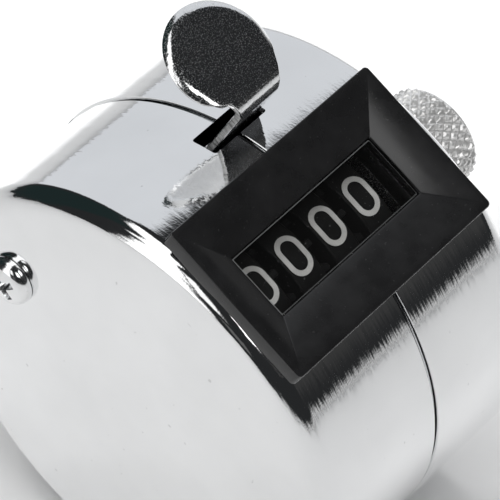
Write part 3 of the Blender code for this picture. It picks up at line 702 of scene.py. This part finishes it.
def digit_strokes(number):
    """Centre lines of a digit's strokes, as (points, closed), in millimetres about its middle."""
    w = (DIGIT_W - STROKE) / 2
    h = (DIGIT_H - STROKE) / 2
    if number == 0:
        return [(stadium(w, h), True)]
    if number == 1:
        return [([(-w * 0.55, h * 0.55), (0.1, h), (0.1, -h)], False)]
    if number == 2:
        return [(ellipse(0, h - w, w, w, 165, -30, 14) + [(-w, -h), (w, -h)], False)]
    if number == 3:
        return [(ellipse(-0.05, h * 0.5, w * 0.92, h * 0.5, 150, -90, 14), False),
                (ellipse(-0.05, -h * 0.5, w, h * 0.5, 90, -150, 14), False)]
    if number == 4:
        return [([(w * 0.45, -h), (w * 0.45, h), (-w, -h * 0.35), (w * 1.05, -h * 0.35)], False)]
    if number == 5:
        bowl = ellipse(-0.05, -h * 0.38, w, h * 0.6, 130, -145, 16)
        return [([(w * 0.85, h), (-w * 0.8, h), (-w * 0.9, 0.15)] + bowl, False)]
    if number == 6:
        return [([(w * 0.6, h), (-w * 0.55, h * 0.45), (-w, -h * 0.3)], False),
                (ellipse(0, -h * 0.42, w, h * 0.57, 0, 348, 24), True)]
    if number == 7:
        return [([(-w, h), (w, h), (-w * 0.25, -h)], False)]
    if number == 8:
        return [(ellipse(0, h * 0.52, w * 0.85, h * 0.48, 0, 345, 22), True),
                (ellipse(0, -h * 0.48, w, h * 0.52, 0, 345, 22), True)]
    return [([(-w * 0.6, -h), (w * 0.55, -h * 0.45), (w, h * 0.3)], False),
            (ellipse(0, h * 0.42, w, h * 0.57, 0, 348, 24), True)]


def stroke_quads(points, closed):
    """Left and right sides of a stroke of constant width along a centre line, with square mitres."""
    count = len(points)
    sides = []
    for index in range(count):
        before = points[index - 1] if closed or index else points[index]
        after = points[(index + 1) % count] if closed or index < count - 1 else points[index]
        into = Vector((points[index][0] - before[0], points[index][1] - before[1]))
        out = Vector((after[0] - points[index][0], after[1] - points[index][1]))
        into = into.normalized() if into.length > 1e-9 else out.normalized()
        out = out.normalized() if out.length > 1e-9 else into
        mean = (into + out).normalized()
        across = Vector((-mean.y, mean.x))
        reach = STROKE / 2 / max(0.55, across.dot(Vector((-into.y, into.x))))
        here = Vector(points[index])
        sides.append((here + across * reach, here - across * reach))
    return sides


def add_digit(mesh_bm, number, x, turn):
    """Raise one digit on a wheel; turn is the angle of its middle from the window towards +Y."""
    low, high = WHEEL_R - 0.05, WHEEL_R + 0.03

    def place(point, radius):
        angle = turn + point[1] / WHEEL_R
        return (x + point[0], radius * sin(angle), WHEEL_Z + radius * cos(angle))
    for points, closed in digit_strokes(number):
        sides = stroke_quads(points, closed)
        rows = []
        for left, right in sides:
            rows.append([mesh_bm.verts.new(place(left, high)), mesh_bm.verts.new(place(right, high)),
                         mesh_bm.verts.new(place(right, low)), mesh_bm.verts.new(place(left, low))])
        pairs = list(zip(rows, rows[1:])) + ([(rows[-1], rows[0])] if closed else [])
        for first, second in pairs:
            for corner in range(4):
                after = (corner + 1) % 4
                mesh_bm.faces.new((first[corner], first[after], second[after], second[corner]))
        if not closed:
            mesh_bm.faces.new(rows[0])
            mesh_bm.faces.new(list(reversed(rows[-1])))


def make_wheels():
    """Four wheels with ten digits each, a gear ring on one side and a carry tooth on the other."""
    gear_tip = MODULE * GEAR_TEETH / 2 + ADDENDUM
    gear_root = MODULE * GEAR_TEETH / 2 - DEDENDUM
    soft = 0.12
    for index, body in enumerate(("thousands", "hundreds", "tens", "units")):
        x = WINDOW_X + (index - 1.5) * PITCH
        left, right = x - BAND_HALF, x + BAND_HALF
        profile = [(left, 0.0), (left, WHEEL_R - soft), (left + soft, WHEEL_R), (right - soft, WHEEL_R),
                   (right, WHEEL_R - soft), (right, 0.0)]
        if body != "thousands":
            profile[:1] = [(x + CARRY_X, 0.0), (x + CARRY_X, 6.0), (left, 6.0)]
        unions = []
        if body != "units":
            ring = toothed(SHAFT_YZ, GEAR_TEETH, gear_tip, gear_root, 0.2, 0.34, pi)
            unions.append(prism(ring, right - 0.3, x + GEAR_X))
        if body != "thousands":
            low, high = WHEEL_Z + 5, WHEEL_Z + gear_root - 0.2
            unions.append(prism([(0.6, low), (0.4, high), (-0.4, high), (-0.6, low)], x + CARRY_X + 0.05, left + 0.3))
        bore = rod(SHAFT_YZ, BORE_R, x + CARRY_X - 1, x + GEAR_X + 1, 40)
        piece("number_wheel_" + body, lathe(profile, SHAFT_YZ, 160), WHEEL_BLACK, body, "wheel_" + body,
              unions=unions, cuts=[bore], smooth=30)
        digits = bmesh.new()
        for number in range(10):
            add_digit(digits, number, x, -number * tau / 10)
        piece("digits_" + body, digits, DIGIT_WHITE, body, smooth=30)


# ---------------------------------------------------------------- knob, screws

def triangle(value):
    """Triangle wave between 0 and 1, one period per unit."""
    return 1 - abs(2 * (value - floor(value)) - 1)


def make_knob():
    """Diamond knurl between two plain rims, cut into the knob's own surface."""
    steps, rows = 320, 64
    turns = 30
    helix = radians(32)
    depth = 0.26
    rim = 0.45
    pitch = tau * KNOB_R / turns
    mesh_bm = bmesh.new()
    x_values = [KNOB_X0 + rim + (KNOB_X1 - KNOB_X0 - 2 * rim) * i / rows for i in range(rows + 1)]
    rings = []

    def ring(x, radius_at):
        made = []
        for index in range(steps):
            angle = tau * index / steps
            radius = radius_at(angle)
            made.append(mesh_bm.verts.new((x, radius * sin(angle), WHEEL_Z + radius * cos(angle))))
        rings.append(made)
    bore = SHAFT_R + CLEAR
    ring(KNOB_X0, lambda a: bore)
    ring(KNOB_X0, lambda a: KNOB_R - 0.75)
    ring(KNOB_X0 + 0.2, lambda a: KNOB_R - 0.4)
    ring(KNOB_X0 + rim * 0.8, lambda a: KNOB_R - 0.3)
    for x in x_values:
        def height(angle, x=x):
            along = angle * KNOB_R / pitch
            across = (x - KNOB_X0) * sin(helix) / cos(helix) / pitch * 1.25
            lift = min(triangle(along + across), triangle(along - across))
            return KNOB_R - depth + depth * min(1.0, lift * 1.5)
        ring(x, height)
    ring(KNOB_X1 - rim * 0.8, lambda a: KNOB_R - 0.28)
    ring(KNOB_X1 - 0.16, lambda a: KNOB_R - 0.34)
    ring(KNOB_X1 - 0.04, lambda a: KNOB_R - 0.5)
    ring(KNOB_X1, lambda a: KNOB_R - 0.75)
    ring(KNOB_X1, lambda a: KNOB_R - 2.4)
    ring(KNOB_X1 - 0.05, lambda a: 0.9)
    for first, second in zip(rings, rings[1:]):
        for index in range(steps):
            after = (index + 1) % steps
            mesh_bm.faces.new((first[index], first[after], second[after], second[index]))
    mesh_bm.faces.new(rings[-1])
    end_wall = KNOB_X1 - 1.2
    deep = []
    for index in range(steps):
        angle = tau * index / steps
        deep.append(mesh_bm.verts.new((end_wall, bore * sin(angle), WHEEL_Z + bore * cos(angle))))
    for index in range(steps):
        after = (index + 1) % steps
        mesh_bm.faces.new((deep[index], deep[after], rings[0][after], rings[0][index]))
    mesh_bm.faces.new(deep)
    hole = add_cylinder(bmesh.new(), "z", (KNOB_X0 + 2.2, 0, WHEEL_Z + KNOB_R), 0.75, 2 * (KNOB_R - SHAFT_R), 32)
    piece("knurled_knob", mesh_bm, KNOB_METAL, "reset", "reset_knob", cuts=[hole], smooth=30)


def make_screws():
    """Two domed screws with a tapered cross recess, just off the left end face."""
    seat = -HALF_W - 0.05
    for name, side in (("top", 1), ("bottom", -1)):
        yz = (side * SCREW_Y, SCREW_Z)
        profile = [(seat, SCREW_R), (seat, SCREW_HEAD_R - 0.08),
                   (seat - 0.1, SCREW_HEAD_R), (seat - 0.35, SCREW_HEAD_R)]
        for angle in range(12, 90, 8):
            rise = 0.35 + (SCREW_HEAD_H - 0.35) * sin(radians(angle))
            profile.append((seat - rise, SCREW_HEAD_R * cos(radians(angle)) ** 0.62))
        tip = -12.4
        profile += [(seat - SCREW_HEAD_H, 0.0), (tip, 0.0), (tip, SCREW_R)]
        cuts = []
        for turned in (0, 1):
            cutter = bmesh.new()
            deep = seat - SCREW_HEAD_H + 1.05
            shallow = seat - SCREW_HEAD_H - 0.5
            corners = []
            for x, long, short in ((shallow, 1.75, 0.42), (deep, 0.85, 0.26)):
                half_y, half_z = (long, short) if turned else (short, long)
                corners.append([cutter.verts.new((x, yz[0] + sy * half_y, yz[1] + sz * half_z))
                                for sy, sz in ((-1, -1), (1, -1), (1, 1), (-1, 1))])
            cutter.faces.new(corners[0])
            cutter.faces.new(corners[1])
            for index in range(4):
                cutter.faces.new((corners[0][index - 1], corners[0][index], corners[1][index], corners[1][index - 1]))
            bmesh.ops.rotate(cutter, verts=cutter.verts, cent=(0, *yz), matrix=Matrix.Rotation(radians(24), 3, "X"))
            cuts.append(cutter)
        piece("head_screw_" + name, lathe(profile, yz, 64), SCREW_CHROME, "case", "case_screw_" + name,
              cuts=cuts, smooth=40)


# ---------------------------------------------------------------- lever

# how far the pad's rim rolls down, as (distance in from the rim, drop)
PAD_ROLL = ((0.0, 0.55), (0.15, 0.36), (0.32, 0.2), (0.5, 0.09), (0.75, 0.02), (1.0, 0.0))


def make_lever():
    """Folded sheet: tongue up through the slot, a flared fold, and a round pad with a rolled rim.

    The flare, the tongue's extra width on the right and the rolled rim are not in the CAD.
    """
    mid_y = LEVER_Y + LEVER_T / 2
    mid_z = PAD_FRONT_Z - LEVER_T / 2
    mesh_bm = bmesh.new()
    fold_z = mid_z - FOLD_R
    start = mid_y + FOLD_R
    lean = 0.02
    left_flare, right_flare, right_extra = 0.5, 0.8, 0.35
    rows = [(mid_y - lean * (fold_z - z), z, 0) for z in (17.2, 19.0, 21.0, fold_z)]
    for index in range(1, 9):
        angle = radians(90 * index / 8)
        rows.append((mid_y + FOLD_R * (1 - cos(angle)), mid_z - FOLD_R * (1 - sin(angle)), (index / 8) ** 2))
    sides = []
    for y, z, flare in rows:
        left = LEVER_X - TONGUE_HALF - left_flare * flare
        right = LEVER_X + TONGUE_HALF + right_extra + right_flare * flare
        sides.append((mesh_bm.verts.new((left, y, z)), mesh_bm.verts.new((right, y, z))))
    for first, second in zip(sides, sides[1:]):
        mesh_bm.faces.new((first[0], first[1], second[1], second[0]))
    turn_right = asin((start + 0.8 - PAD_Y) / PAD_R)
    turn_left = asin((start + 0.15 - PAD_Y) / PAD_R)
    steps, fade = 72, 6
    loops = []
    for inset, drop in PAD_ROLL:
        radius = PAD_R - inset
        loop = []
        for index in range(steps + 1):
            angle = turn_right + (pi - turn_left - turn_right) * index / steps
            share = min(1, index / fade, (steps - index) / fade)
            loop.append(mesh_bm.verts.new((LEVER_X + radius * cos(angle), PAD_Y + radius * sin(angle),
                                           mid_z - drop * share)))
        loops.append(loop)
    for outer, inner in zip(loops, loops[1:]):
        for first in range(len(outer) - 1):
            mesh_bm.faces.new((outer[first], outer[first + 1], inner[first + 1], inner[first]))
    rights = [loop[0] for loop in loops]
    lefts = [loop[-1] for loop in reversed(loops)]
    mesh_bm.faces.new([sides[-1][0], sides[-1][1]] + rights + loops[-1][1:-1] + lefts)
    shelf = box((LEVER_X - TONGUE_HALF, LEVER_Y, 8.6), (ARM_X[1], LEVER_Y + LEVER_T, 17.0))
    arm = [(LEVER_Y + LEVER_T, 9.6), (LEVER_Y + LEVER_T, 17.0), (4.0, 17.6), (-6.0, 17.4)]
    arm += arc(PIVOT, 2.0, 60, 300, 20)
    arm += [(-5.0, 14.8), (3.0, 14.8), (6.5, 13.0), (8.5, 9.6)]
    holes = [rod(PIVOT, 1.0 + CLEAR, ARM_X[0] - 1, ARM_X[1] + 1, 32),
             add_cylinder(bmesh.new(), "x", (ARM_X[0], *PAWL_PIVOT), 0.6 + CLEAR, 4, 24)]

    def sheared(mesh):
        """1 for the faces that are the tongue's cut edges, 0 for the plated rest."""
        flags = []
        for face in mesh.polygons:
            middle = face.center / MM
            flags.append(1 if abs(face.normal.x) > 0.93 and middle.y < 13.2 and middle.z > 17 else 0)
        return flags
    piece("lever_sheet", mesh_bm, [LEVER_CHROME, SHEARED], "lever", "thumb_lever", solidify=LEVER_T,
          bevel=(0.2, 5, 50), unions=[shelf, prism(arm, *ARM_X)], cuts=holes, smooth=30, pick=sheared)


# ---------------------------------------------------------------- finger ring

def make_ring():
    """Ring, saddle and rivets, built straight under the drum and swung to the back."""
    yz = (RING_Y, 0.0)
    half = RING_W / 2
    inner = RING_R - RING_T
    soft = 0.35
    profile = []
    for x, radius, start in ((-half + soft, inner + soft, 270), (-half + soft, RING_R - soft, 180),
                             (half - soft, RING_R - soft, 90), (half - soft, inner + soft, 0)):
        for index in range(6):
            angle = radians(start - 90 * index / 5)
            profile.append((x + soft * cos(angle), radius + soft * sin(angle)))
    piece("ring_band", hang_back(lathe(profile, yz, 160)), RING_CHROME, "case", "finger_ring",
          cuts=[rivet_holes(RING_Y + RING_R, 6)], smooth=30)
    low = RING_Y + RING_R - 1.2
    block = box((-SADDLE_W / 2, low, -SADDLE_L / 2), (SADDLE_W / 2, -DRUM_R + 2, SADDLE_L / 2))
    cuts = [add_cylinder(bmesh.new(), "x", (0, 0, 0), LEFT_R + CLEAR, 2 * HALF_W, 180),
            rod(yz, RING_R + CLEAR, -HALF_W, HALF_W, 120)]
    piece("saddle_block", hang_back(block), RING_CHROME, "case", "ring_saddle",
          cuts=[hang_back(cut) for cut in cuts] + [rivet_holes(-DRUM_R - 1, 8)], bevel=(0.5, 4), smooth=30)
    wall = RING_Y + sqrt(inner ** 2 - (RIVET_Z + RIVET_HEAD_R) ** 2)
    top = -LEFT_R + 0.75 + 0.9
    head = 0.7
    for name, z in (("front", RIVET_Z), ("rear", -RIVET_Z)):
        seat = wall - CLEAR
        profile = [(seat, 0.0), (seat, RIVET_HEAD_R - 0.1)]
        for angle in (10, 25, 40, 55, 70, 82):
            profile.append((seat - head * sin(radians(angle)), RIVET_HEAD_R * cos(radians(angle)) ** 0.7))
        profile.append((seat - head, 0.0))
        mesh_bm = lathe(profile, (0, 0), 40)
        bmesh.ops.rotate(mesh_bm, verts=mesh_bm.verts, cent=(0, 0, 0), matrix=Matrix.Rotation(radians(90), 3, "Z"))
        bmesh.ops.translate(mesh_bm, verts=mesh_bm.verts, vec=(0, 0, z))
        shank = add_cylinder(bmesh.new(), "y", (0, (top + seat - 0.3) / 2, z), RIVET_R, top - seat + 0.3, 32)
        piece("rivet_" + name, hang_back(mesh_bm), RING_CHROME, "case", "ring_rivet_" + name,
              unions=[hang_back(shank)], smooth=35)


# ---------------------------------------------------------------- carried-over CAD pieces

CARRIED = {
    STEEL: ("left_plate", "right_plate", "tie_post_upper", "tie_post_lower", "tie_post_rear", "pinion_shaft",
            "reset_shaft", "knob_set_screw", "lever_pivot_pin", "lever_pivot_clip", "drive_pawl", "pawl_rivet",
            "detent_spring", "lever_spring"),
    BRASS: ("shaft_bush", "screw_post_top", "screw_post_bottom", "ratchet_wheel"),
    NYLON: ("transfer_pinion_thousands", "transfer_pinion_hundreds", "transfer_pinion_tens"),
}


def dress_frame():
    for material, names in CARRIED.items():
        for name in names:
            mesh = frame["nodes"][name].data
            mesh.materials.clear()
            mesh.materials.append(material)


# ---------------------------------------------------------------- studio

def make_floor():
    material, nodes, shader, coords = new_material("floor_white", 0.0, 0.55, (0.86, 0.86, 0.86))
    grain = nodes.noise(coords, 40, 3.0)
    nodes.link(nodes.mix(grain, (0.86, 0.86, 0.86), (0.84, 0.84, 0.84)), shader.inputs["Base Color"])
    mesh_bm = bmesh.new()
    bmesh.ops.create_circle(mesh_bm, cap_ends=True, segments=96, radius=2.0)
    mesh = bpy.data.meshes.new("floor")
    mesh_bm.to_mesh(mesh)
    mesh_bm.free()
    mesh.materials.append(material)
    obj = bpy.data.objects.new("floor", mesh)
    bpy.context.scene.collection.objects.link(obj)


DARK_ROOM = (0.02, 0.021, 0.022)
WHITE, BRIGHT = (1.3, 1.3, 1.3), (2.0, 2.0, 2.0)
# what the plating mirrors: use, azimuth and elevation ranges, softness (all in degrees)
# and light. Later ones win.
PANELS = (
    ("top of the drum", (0, 63), (-90, 54.0), 2, (0.68, 0.70, 0.73)),
    ("under the window", (-68, -42), (11, 20), 6, (0.045, 0.045, 0.045)),
    ("left shoulder's strip", (152, 177), (-90, 62), 3, WHITE),
    ("its bend", (139, 166), (47, 72), 3, WHITE),
    ("its top", (66, 200), (62, 100), 3, WHITE),
    ("thumb pad's rim", (-200, -166), (24, 52), 3, (1.1, 1.1, 1.1)),
    ("bezel's right slope", (-136, -100), (36, 57.2), 1, BRIGHT),
    ("dark green wall", (70, 126), (2, 58), 5, (0.013, 0.022, 0.022)),
    ("bezel's left slope", (-12, 4), (-2, 14), 2, (0.17, 0.17, 0.17)),
    ("patch on the shoulder", (-172, -161), (7, 16), 1, (0.12, 0.12, 0.12)),
    ("far edge of the table", (-146, -50), (-90, 1), 3, (0.60, 0.60, 0.60)),
)


def make_world():
    """Studio round the counter: white panels in a dark room, and a plain pale backdrop for the camera."""
    world = bpy.data.worlds.new("studio")
    bpy.context.scene.world = world
    world.use_nodes = True
    nodes = Nodes(world.node_tree)
    background = world.node_tree.nodes["Background"]
    coords = nodes.add("ShaderNodeTexCoord").outputs["Generated"]
    split = nodes.add("ShaderNodeSeparateXYZ")
    nodes.link(coords, split.inputs[0])
    x, y, z = split.outputs
    azimuth = nodes.math("MULTIPLY", nodes.math("ARCTAN2", y, x), 180 / pi)
    elevation = nodes.math("MULTIPLY", nodes.math("ARCSINE", z), 180 / pi)

    def between(value, low, high, soft):
        rise = nodes.remap(value, low - soft, low + soft, 0.0, 1.0, True)
        fall = nodes.remap(value, high - soft, high + soft, 1.0, 0.0, True)
        return nodes.math("MULTIPLY", rise, fall)

    light = DARK_ROOM
    for _, az, el, soft, color in PANELS:
        where = nodes.math("MULTIPLY", between(azimuth, *az, soft), between(elevation, *el, soft))
        light = nodes.mix(where, light, color)
    nodes.link(light, background.inputs["Color"])
    background.inputs["Strength"].default_value = 1.0
    plain = nodes.add("ShaderNodeBackground")
    plain.inputs["Color"].default_value = (0.93, 0.93, 0.93, 1.0)
    chosen = nodes.add("ShaderNodeMixShader")
    nodes.link(nodes.add("ShaderNodeLightPath").outputs["Is Camera Ray"], chosen.inputs[0])
    nodes.link(background.outputs[0], chosen.inputs[1])
    nodes.link(plain.outputs[0], chosen.inputs[2])
    nodes.link(chosen.outputs[0], world.node_tree.nodes["World Output"].inputs["Surface"])


def soft_light(name, kind, place, target, size, power, cone=0):
    """Soft light; place and target are in metres in the row frame, from the middle of the base."""
    light = bpy.data.lights.new(name, kind)
    light.energy = power
    if kind == "AREA":
        light.shape = "SQUARE"
        light.size = size
    else:
        light.shadow_soft_size = size
        light.spot_size = radians(cone)
        light.spot_blend = 0.7
    obj = bpy.data.objects.new(name, light)
    obj.location = place
    obj.rotation_mode = "QUATERNION"
    obj.rotation_quaternion = (Vector(place) - Vector(target)).to_track_quat("Z", "Y")
    obj.visible_glossy = False
    bpy.context.scene.collection.objects.link(obj)


def make_camera():
    """Long lens at the photograph's viewing angle; place and directions are in the counter's own axes.

    The numbers come from a least-squares fit to points picked in the photograph.
    """
    data = bpy.data.cameras.new("camera")
    data.sensor_width = 36.0
    data.lens = 273.9
    data.clip_start, data.clip_end = 0.01, 20.0
    obj = bpy.data.objects.new("camera", data)
    bpy.context.scene.collection.objects.link(obj)
    right = Vector((0.6404, -0.6709, 0.3738)).normalized()
    up = Vector((0.5636, 0.7411, 0.3648))
    up = (up - right * up.dot(right)).normalized()
    local = Matrix((right, up, right.cross(up))).transposed().to_4x4()
    local.translation = Vector((-171.8, -4.5, 290.3)) * MM
    obj.matrix_world = AXES @ local
    bpy.context.scene.camera = obj


make_camera()
make_floor()
make_world()
soft_light("overhead", "AREA", (-0.1, -0.1, 0.9), (0, 0, 0), 1.0, 6.3)
soft_light("behind", "SPOT", (0.10, 0.13, 0.25), (0.066, 0.05, 0), 0.03, 2.0, 38)
bpy.context.scene.view_settings.view_transform = "Standard"
make_shells()
make_bezel()
make_lens()
make_wheels()
make_knob()
make_screws()
make_lever()
make_ring()
dress_frame()
